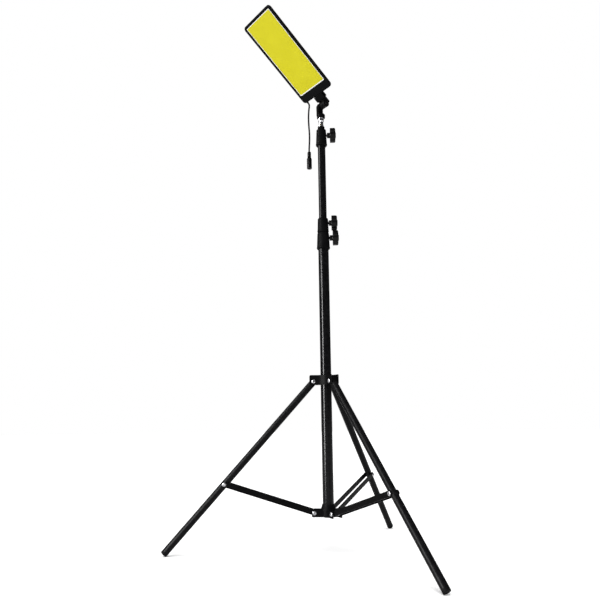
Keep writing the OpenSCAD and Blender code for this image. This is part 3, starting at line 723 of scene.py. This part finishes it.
def make_collar(k):
    c = COLLARS[k]
    body = ("base", "riser_2", "riser_3")[k]
    bm = bmesh.new()
    h, top, foot = c.height, c.r_top, c.r_foot
    tube = c.r_outer + 0.02
    bore = c.r_inner + 1.2
    pipe_top = c.knob_z - 7 - c.z
    outside = soften([
        (tube, 0.0, 0), (c.r_outer + 0.5, 0.0, 0.3), (foot - 1.8, 0.0, 0.5), (foot - 0.15, 2.1, 0.9),
        (foot, 5.0, 0.6), (foot - 0.45, 5.5, 0.25), (foot - 0.5, 6.1, 0.25), (top + 0.1, h - 4.3, 0.2),
        (top - 0.35, h - 3.9, 0.2), (top - 0.35, h - 3.3, 0.2), (top, h - 2.9, 0.2),
        (top, h - 2.0, 0.6), (top - 1.2, h - 0.8, 0.5), (bore + 0.4, h, 0.3), (bore, h - 0.5, 0)],
        closed=False, step=20.0)
    outside += [(bore, pipe_top), (tube, pipe_top)]
    spin(bm, outside, 96, ring=True)
    ring = Matrix.Translation((0, 0, c.knob_z - c.z)) @ turn(90, "Y")
    face = c.boss
    spin(bm, [(3.15, face - 1.6), (5.4, face - 1.6), (5.4, face - 0.35), (5.1, face - 0.05),
              (3.5, face - 0.05), (3.15, face - 0.35)], 48, ring=True, place=ring)
    piece(f"clamp_collar_{k + 1}", bm, body, "black_plastic", (f"collar_{k + 1}",), move(0, 0, c.z))


def make_knob(k):
    c = COLLARS[k]
    place = move(0, 0, c.knob_z) @ turn(90, "Y")
    z0 = c.knob_start - c.neck
    z1 = c.knob_start + 6.0

    def lobes(r, depth_scale=1.0):
        """Six lobes: a circle with six round scallops, softened where the two meet."""

        def radius(t):
            a = (degrees(t) + 360) % 60 - 30
            scallop = SCALLOP_R * depth_scale
            reach = SCALLOP_AT * cos(radians(a))
            aside = SCALLOP_AT * sin(radians(a))
            if abs(aside) >= scallop:
                return r
            edge = reach - sqrt(scallop ** 2 - aside ** 2)
            if edge >= r:
                return r
            gap = r - edge
            return r - gap + 0.35 * min(1.0, 1.2 / (gap + 0.4)) * min(1.0, gap)

        return radius

    bm = bmesh.new()
    head = [(3.05, z0), (6.1, z0), (6.55, z0 + 0.2), (6.75, z0 + 0.7), (6.75, z1 - 1.2), (6.9, z1 - 0.5),
            (7.6, z1), (11.4, z1), (11.7, z1 + 0.25), (14.6, z1 + 0.25), (14.9, z1),
            (lobes(17.7, 1.06), z1), (lobes(18.2, 1.03), z1 + 0.2), (lobes(KNOB_R), z1 + 0.7),
            (lobes(KNOB_R), z1 + 5.5), (lobes(KNOB_R), z1 + 10.8), (lobes(18.3), z1 + 11.7),
            (lobes(17.8, 1.03), z1 + 12.4), (lobes(17.0, 1.07), z1 + 13.0), (lobes(15.9, 1.12), z1 + 13.4),
            (lobes(14.4, 1.2), z1 + 13.6), (12.8, z1 + 13.7), (8.0, z1 + 13.9), (7.4, z1 + 14.1),
            (7.2, z1 + 14.6), (6.7, z1 + 14.95), (4.0, z1 + 15.0), (0, z1 + 15.0)]
    spin(bm, head, 216)
    piece(f"clamp_knob_{k + 1}", bm, f"clamp_{k + 1}", "black_plastic", (f"knob_{k + 1}",), place,
          "satin_plastic")

    bm = bmesh.new()
    tip = c.r_inner + 0.35
    pitch = 0.42
    turns = int((z0 + 6 - tip - 1.4) / pitch)
    threads = [(3.0 if j % 2 else 2.72, tip + 0.8 + pitch * j) for j in range(turns)]
    spin(bm, [(0, tip), (2.2, tip), (2.6, tip + 0.5)] + threads + [(2.9, z0 + 6), (0, z0 + 6)], 40)
    piece(f"clamp_stud_{k + 1}", bm, f"clamp_{k + 1}", "zinc", (f"knob_{k + 1}_stud",), place)


for clamp in range(3):
    make_collar(clamp)
    make_knob(clamp)

# ---------------------------------------------------------------- cap and spigot


def make_top():
    bm = bmesh.new()
    spin(bm, soften([(8.05, 0, 0), (8.4, 0, 0.15), (8.5, 0.4, 0.1), (8.5, 3.4, 0.2), (8.25, 3.8, 0.2),
                     (8.25, 4.5, 0.2), (8.75, 5.0, 0.2), (8.75, 6.5, 0.6), (7.6, 7.2, 0.4), (3.9, 7.2, 0.2),
                     (3.55, 6.9, 0)], closed=False) + [(3.55, 4.1), (8.05, 4.1)], 96, ring=True)
    piece("column_cap", bm, "riser_4", "black_plastic", ("top_cap",), move(0, 0, CAP_Z))
    bm = bmesh.new()
    top = SWIVEL_Z - SPIGOT_Z
    spin(bm, soften([(0, -11.9, 0), (3.48, -11.9, 0.3), (3.48, 0.0, 0), (6.5, 0.0, 0.3), (6.9, 0.4, 0.3),
                     (6.9, 2.9, 0.5), (5.7, 5.4, 1.2), (5.6, 13.0, 1.2), (6.9, 15.6, 0.5),
                     (6.9, top - 3.0, 0.4), (6.5, top - 2.6, 0.3), (6.5, top - 2.1, 0.3),
                     (6.9, top - 1.7, 0.3), (6.9, top - 0.8, 0.3), (6.5, top - 0.4, 0.2),
                     (5.5, top - 0.4, 0.1), (5.5, top + 6.6, 0.4), (5.0, top + 7.1, 0.2),
                     (0, top + 7.1, 0)], closed=False), 96)
    piece("spigot_stud", bm, "riser_4", "chrome", ("spigot",), move(0, 0, SPIGOT_Z))


make_top()

# ---------------------------------------------------------------- swivel bracket


def make_swivel():
    bm = bmesh.new()
    z = SWIVEL_Z
    spin(bm, soften([(5.6, 0.0, 0), (9.4, 0.0, 0.3), (10.25, 0.9, 0.5), (10.25, 8.7, 0.8), (9.4, 9.95, 0.5),
                     (0, 10.0, 0)], closed=False) + [(0, 8.1), (5.6, 8.1)], 96,
         place=Matrix.Translation((0, 0, z)))
    # the upright arm, as (height, x from, x to, y from, y to, corner radius)
    sections = (
        (8.5, -10.6, -0.6, -6.4, 7.2, 1.4), (10.2, -10.8, -1.0, -6.4, 8.0, 1.3),
        (12.5, -11.2, -1.6, -6.2, 9.4, 1.3), (15.0, -11.5, -2.2, -5.9, 10.4, 1.3),
        (18.0, -11.9, -3.0, -5.6, 10.8, 1.3), (22.5, -12.4, -3.9, -5.2, 10.9, 1.3),
        (27.5, -13.2, -4.0, -4.8, 11.0, 1.4), (32.0, -14.0, -4.0, -4.4, 11.4, 1.5),
        (36.0, -14.4, -4.1, -4.0, 12.6, 1.6), (39.0, -14.4, -4.2, -3.4, 14.0, 1.6),
        (41.5, -14.0, -4.5, -1.0, 13.4, 1.8), (43.0, -13.4, -4.9, 2.6, 11.4, 1.8),
    )
    add_loft(bm, [[(x, y, z + h) for x, y in rrect(x0, x1, y0, y1, r)]
                  for h, x0, x1, y0, y1, r in sections])
    knuckle = Matrix.Translation((0, HINGE_Y, HINGE_Z)) @ turn(90, "Y")
    spin(bm, soften([(3.05, -14.5, 0), (6.4, -14.5, 0.2), (6.6, -14.2, 0.1), (7.4, -14.2, 0.2),
                     (7.7, -14.5, 0.1), (8.3, -14.5, 0.3), (9.0, -13.8, 0.4), (9.0, -4.6, 0.4),
                     (8.4, -4.0, 0.3), (3.05, -4.0, 0)], closed=False), 96, ring=True, place=knuckle)
    piece("swivel_arm", bm, "swivel", "black_paint", ("swivel_bracket",), AT_SWIVEL)
    bm = bmesh.new()
    at = Vector((0, HINGE_Y, HINGE_Z))
    add_screw(bm, along((1, 0, 0), at + Vector((14.9, 0, 0))), 3.0, 29.4, 6.0, 3.9)
    nut = along((-1, 0, 0), at + Vector((-14.5, 0, 0)))

    def hexagon(r):
        return lambda t: r * cos(pi / 6) / cos((t % (pi / 3)) - pi / 6)

    spin(bm, [(0, 0), (hexagon(4.9), 0.0), (hexagon(5.1), 0.25), (hexagon(5.1), 2.1), (4.45, 2.5),
              (3.0, 2.5), (2.9, 2.95), (2.2, 3.0), (0, 3.0)], 48, place=nut)
    piece("hinge_screw", bm, "swivel", "black_paint", ("hinge_bolt",), AT_SWIVEL)


make_swivel()

# ---------------------------------------------------------------- lamp head


def add_plate(bm, x0, x1, z0, z1, levels):
    """A flat panel facing -y with small cells. levels are (y, inset) pairs from back to front."""
    r, nx, nz = 1.5, 10, 22
    us = [0.0, r] + [r + (x1 - x0 - 2 * r) * k / nx for k in range(1, nx)] + [x1 - x0 - r, x1 - x0]
    vs = [0.0, r] + [r + (z1 - z0 - 2 * r) * k / nz for k in range(1, nz)] + [z1 - z0 - r, z1 - z0]
    n, m = len(us) - 1, len(vs) - 1
    around = [(i, 0) for i in range(n)] + [(n, j) for j in range(m)]
    around += [(i, m) for i in range(n, 0, -1)] + [(0, j) for j in range(m, 0, -1)]

    def at(i, j, y, d):
        x = x0 + d + us[i] * (1 - 2 * d / (x1 - x0))
        z = z0 + d + vs[j] * (1 - 2 * d / (z1 - z0))
        if i in (0, n) and j in (0, m):
            x += 0.293 * r * (1 if i == 0 else -1)
            z += 0.293 * r * (1 if j == 0 else -1)
        return (x, y, z)

    rows = add_loft(bm, [[at(i, j, y, d) for i, j in around] for y, d in levels], cap1=False)
    verts = dict(zip(around, rows[-1]))
    y, d = levels[-1]
    for i in range(1, n):
        for j in range(1, m):
            verts[(i, j)] = bm.verts.new(at(i, j, y, d))
    for i in range(n):
        for j in range(m):
            bm.faces.new((verts[(i, j)], verts[(i + 1, j)], verts[(i + 1, j + 1)], verts[(i, j + 1)]))


def make_head():
    outer = rrect(-HEAD_HW, HEAD_HW, HEAD_Z0, HEAD_Z1, 9.0, step=7.5)
    hole = rrect(-LED_HW, LED_HW, LED_Z0, LED_Z1, 2.4, step=7.5)
    front, back = RIM_Y, RIM_Y + RIM_T
    bm = bmesh.new()
    loops = []
    for y, d in ((back, 1.4), (back - 0.1, 0.75), (back - 0.4, 0.28), (back - 0.9, 0.04), (back - 1.3, 0.0),
                 (front + 1.5, 0.0), (front + 1.0, 0.06), (front + 0.5, 0.3), (front + 0.15, 0.75),
                 (front + 0.02, 1.2), (front, 1.7)):
        loops.append(plan_at(inset(outer, d), y))
    for y, d in ((front, -0.55), (front + 0.12, -0.2), (front + 0.4, 0.0), (front + 4.35, 0.0)):
        loops.append(plan_at(inset(hole, d), y))
    add_loft(bm, loops)
    piece("lamp_housing", bm, "head", "black_housing", ("rim",), AT_HEAD)

    bm = bmesh.new()
    add_slab(bm, rrect(-LED_HW + 0.2, LED_HW - 0.2, LED_Z0 + 0.2, LED_Z1 - 0.2, 2.2),
             front + 1.6, front + 4.3, 0.15)
    piece("led_carrier", bm, "head", "led_white", ("led_board",), AT_HEAD)

    bm = bmesh.new()
    add_plate(bm, -LED_HW + 2.0, LED_HW - 2.4, LED_Z0 + 2.6, LED_Z1 - 1.8,
              [(front + y, d) for y, d in ((1.59, 0.0), (1.3, 0.02), (1.08, 0.2), (0.96, 0.5), (0.9, 1.1))])
    piece("led_phosphor", bm, "head", "led_yellow", ("led_panel",), AT_HEAD)

    bm = bmesh.new()
    add_slab(bm, rrect(-48.0, 48.0, HEAD_Z0 + 48, HEAD_Z1 - 7, 6.0), back + 0.02, back + 3.0, 0.5)
    for k in range(11):
        x = -44 + 8.8 * k
        z0, z1 = HEAD_Z0 + 52, HEAD_Z1 - 11
        foot, tip = back + 2.7, back + 9.9
        loops = []
        for y, half, pull in ((foot, 1.3, 0.0), (foot + 0.5, 0.98, 0.05), (foot + 1.2, 0.9, 0.2),
                              (tip - 1.6, 0.72, 2.4), (tip - 0.4, 0.66, 3.4), (tip - 0.1, 0.5, 3.8),
                              (tip, 0.25, 4.2)):
            fin = rrect(x - half, x + half, z0 + pull, z1 - pull, half * 0.8, step=30.0)
            loops.append(plan_at(fin, y))
        add_loft(bm, loops)
    for x, z in CASE_SCREWS:
        spin(bm, [(3.4, 2.6), (3.3, 3.3), (3.0, 3.4), (1.6, 3.4), (1.6, 2.6)], 32, ring=True,
             place=along((0, 1, 0), (x, back - 0.4, z)))
    piece("finned_back", bm, "head", "black_housing", ("heat_sink",), AT_HEAD)

    bm = bmesh.new()
    for x, z in CASE_SCREWS:
        add_screw(bm, along((0, 1, 0), (x, back + 3.0, z)), 1.5, 2.8, 2.9, 1.6)
    piece("back_screws", bm, "head", "zinc", ("case_screws",), AT_HEAD)


def make_tilt():
    back = RIM_Y + RIM_T
    bm = bmesh.new()
    # the plate under the chin, drawn in (x, z)
    add_slab(bm, rrect(-14.5, 14.5, -4.4, HEAD_Z0 - 0.1, 2.2), RIM_Y + 1.3, back, 0.5)
    add_slab(bm, rrect(-16.2, 14.5, 10.4, HEAD_Z0 - 0.1, 2.6), RIM_Y - 1.3, back, 0.8)
    # the lug round the hinge, drawn in (y, z)
    round_end = [(9.0 * cos(radians(a)), 9.0 * sin(radians(a))) for a in range(70, 299, 8)]
    lug = [(12.0, -4.4), (12.0, 9.5), (6.6, 8.6)] + round_end + [(6.2, -6.4), (8.2, -4.6)]
    loops = []
    for x, d in ((-3.6, 0.5), (-3.45, 0.15), (-3.1, 0.0), (14.0, 0.0), (14.35, 0.15), (14.5, 0.5)):
        loops.append([(x, y, z) for y, z in inset(lug, d)])
    add_loft(bm, loops)
    # the saddle that steps back behind the housing, and the tongue with its screws
    add_slab(bm, rrect(-14.5, 14.5, 12.0, 24.0, 2.0), RIM_Y + 1.6, back + 4.7, 0.5)
    add_slab(bm, rrect(-14.5, 14.5, 14.0, HEAD_Z0 + 44, 4.0), back + 0.1, back + 4.6, 0.8)
    # two stiffening ribs under the plate
    for x in (-11.5, -7.0):
        rib = soften([(9.8, -2.0, 0.3), (9.8, 22.0, 0.3), (9.0, 22.0, 0.3), (8.6, 4.0, 0.6),
                      (8.6, -2.0, 0.4)])
        loops = [[(x + dx, y, z) for y, z in inset(rib, d)] for dx, d in
                 ((-0.7, 0.12), (-0.55, 0.0), (0.55, 0.0), (0.7, 0.12))]
        add_loft(bm, loops)
    piece("tilt_arm", bm, "head", "black_paint", ("tilt_bracket",), AT_HEAD)
    bm = bmesh.new()
    for x in (-8, 8):
        for z in (HEAD_Z0 + 10, HEAD_Z0 + 34):
            add_screw(bm, along((0, 1, 0), (x, back + 4.6, z)), 1.48, 5.6, 3.6, 1.8)
    piece("tongue_screws", bm, "head", "zinc", ("bracket_screws",), AT_HEAD)


make_head()
make_tilt()

# ---------------------------------------------------------------- carried-over CAD nodes

KEPT = {
    "liner_1": "nylon", "liner_2": "nylon", "liner_3": "nylon", "plug_2": "nylon", "plug_3": "nylon",
    "plug_4": "nylon", "crown_bush": "nylon", "leg_1_pin": "zinc", "leg_2_pin": "zinc", "leg_3_pin": "zinc",
}
for node, slot in KEPT.items():
    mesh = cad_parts[node].data
    mesh.materials.clear()
    mesh.materials.append(MATS[slot])

# ---------------------------------------------------------------- floor and light


def make_stage():
    mesh = bpy.data.meshes.new("floor")
    bm = bmesh.new()
    bmesh.ops.create_circle(bm, cap_ends=True, radius=14.0, segments=96)
    bm.to_mesh(mesh)
    bm.free()
    floor = bpy.data.objects.new("floor", mesh)
    bpy.context.collection.objects.link(floor)
    g = Graph("floor_pale")
    tone = g.blend(g.span(g.noise(1.3), 0.3, 0.7, 0.0, 1.0), (0.90, 0.90, 0.90), (0.92, 0.92, 0.92))
    g.link(tone, "Base Color")
    g.fixed(Roughness=0.85, Specular_IOR_Level=0.1, Emission_Strength=0.12)
    mesh.materials.append(g.mat)


def area(name, at, towards, size, power):
    data = bpy.data.lights.new(name, "AREA")
    data.shape = "RECTANGLE"
    data.size, data.size_y = size
    data.energy = power
    light = bpy.data.objects.new(name, data)
    bpy.context.collection.objects.link(light)
    aim = Vector(towards) - Vector(at)
    light.matrix_world = Matrix.Translation(at) @ aim.to_track_quat("-Z", "Y").to_matrix().to_4x4()
    return light


def make_light():
    """A soft top light, two strips whose reflections run down the tubes, a weak fill, and a white surround
    that lights surfaces at 0.40, shows in reflections at 0.10 and is seen by the camera at 1."""
    sun = bpy.data.lights.new("soft_top", "SUN")
    sun.energy = 3.5
    sun.angle = radians(60)
    top = bpy.data.objects.new("soft_top", sun)
    bpy.context.collection.objects.link(top)
    top.rotation_euler = (radians(28), radians(-12), 0)
    top.visible_glossy = False
    low = area("strip_low", (-1.75, -1.35, 0.55), (0, 0, 0.55), (0.45, 1.5), 180)
    low.visible_diffuse = False
    high = area("strip_high", (-2.15, -0.45, 2.05), (0, 0, 2.05), (0.75, 1.5), 80)
    high.visible_diffuse = False
    fill = area("fill_front", (0.5, -3.0, 1.8), (0, 0, 0.6), (1.6, 1.6), 18)
    fill.visible_glossy = False
    world = bpy.data.worlds.new("studio")
    bpy.context.scene.world = world
    world.use_nodes = True
    nodes, links = world.node_tree.nodes, world.node_tree.links
    soft = nodes["Background"]
    white = nodes.new("ShaderNodeBackground")
    dim = nodes.new("ShaderNodeBackground")
    for background, strength in ((soft, 0.40), (white, 1.0), (dim, 0.10)):
        background.inputs["Color"].default_value = (1, 1, 1, 1)
        background.inputs["Strength"].default_value = strength
    path = nodes.new("ShaderNodeLightPath")
    lit = nodes.new("ShaderNodeMixShader")
    links.new(path.outputs["Is Glossy Ray"], lit.inputs[0])
    links.new(soft.outputs[0], lit.inputs[1])
    links.new(dim.outputs[0], lit.inputs[2])
    mix = nodes.new("ShaderNodeMixShader")
    links.new(path.outputs["Is Camera Ray"], mix.inputs[0])
    links.new(lit.outputs[0], mix.inputs[1])
    links.new(white.outputs[0], mix.inputs[2])
    links.new(mix.outputs[0], nodes["World Output"].inputs["Surface"])
    bpy.context.scene.view_settings.view_transform = "Standard"


make_stage()
make_light()
